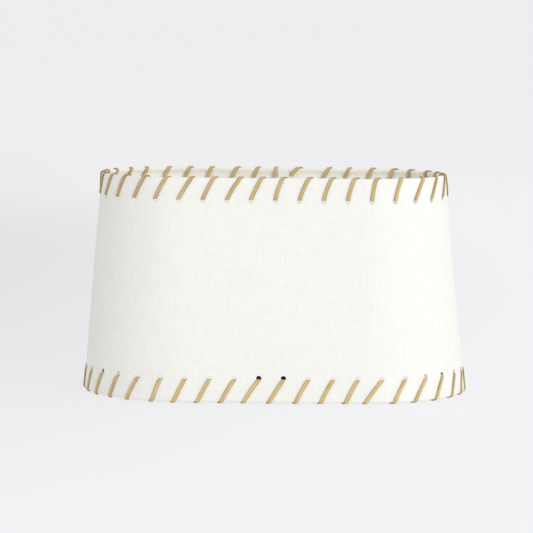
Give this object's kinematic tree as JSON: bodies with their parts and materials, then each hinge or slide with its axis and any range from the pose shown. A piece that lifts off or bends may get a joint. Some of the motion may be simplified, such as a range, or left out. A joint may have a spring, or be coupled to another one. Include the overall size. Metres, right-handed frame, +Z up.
{
  "type": "oval lamp shade",
  "caption": "Oval hardback lamp shade of linen over styrene, with leather lacing round both rims, wire rings and a recessed ring fitter at the bottom.",
  "frame": {"origin": "under the middle of the shade, on the surface that the bottom lace rests on", "axes": "+X along the shade's long axis, -Y out of its front, +Z up from the wide rim to the narrow rim"},
  "size_m": [0.4085, 0.2282, 0.2321],
  "materials": {
    "linen": "slubby off-white linen, matte, slightly translucent",
    "styrene": "white satin styrene sheet",
    "ring_wire": "plain steel wire",
    "lace": "tan vegetable-tanned leather lace, satin, darker cut edges",
    "fitter_black": "satin black paint on steel"
  },
  "bodies": {
    "root": {"linen_cover": "linen", "styrene_liner": "styrene", "back_seam_strip": "linen", "top_ring_wire": "ring_wire", "bottom_ring_wire": "ring_wire", "top_lace": "lace", "bottom_lace": "lace", "fitter_collar": "fitter_black", "fitter_spoke_right": "fitter_black", "fitter_spoke_back": "fitter_black", "fitter_spoke_left": "fitter_black", "fitter_spoke_front": "fitter_black"}
  },
  "joints": []
}
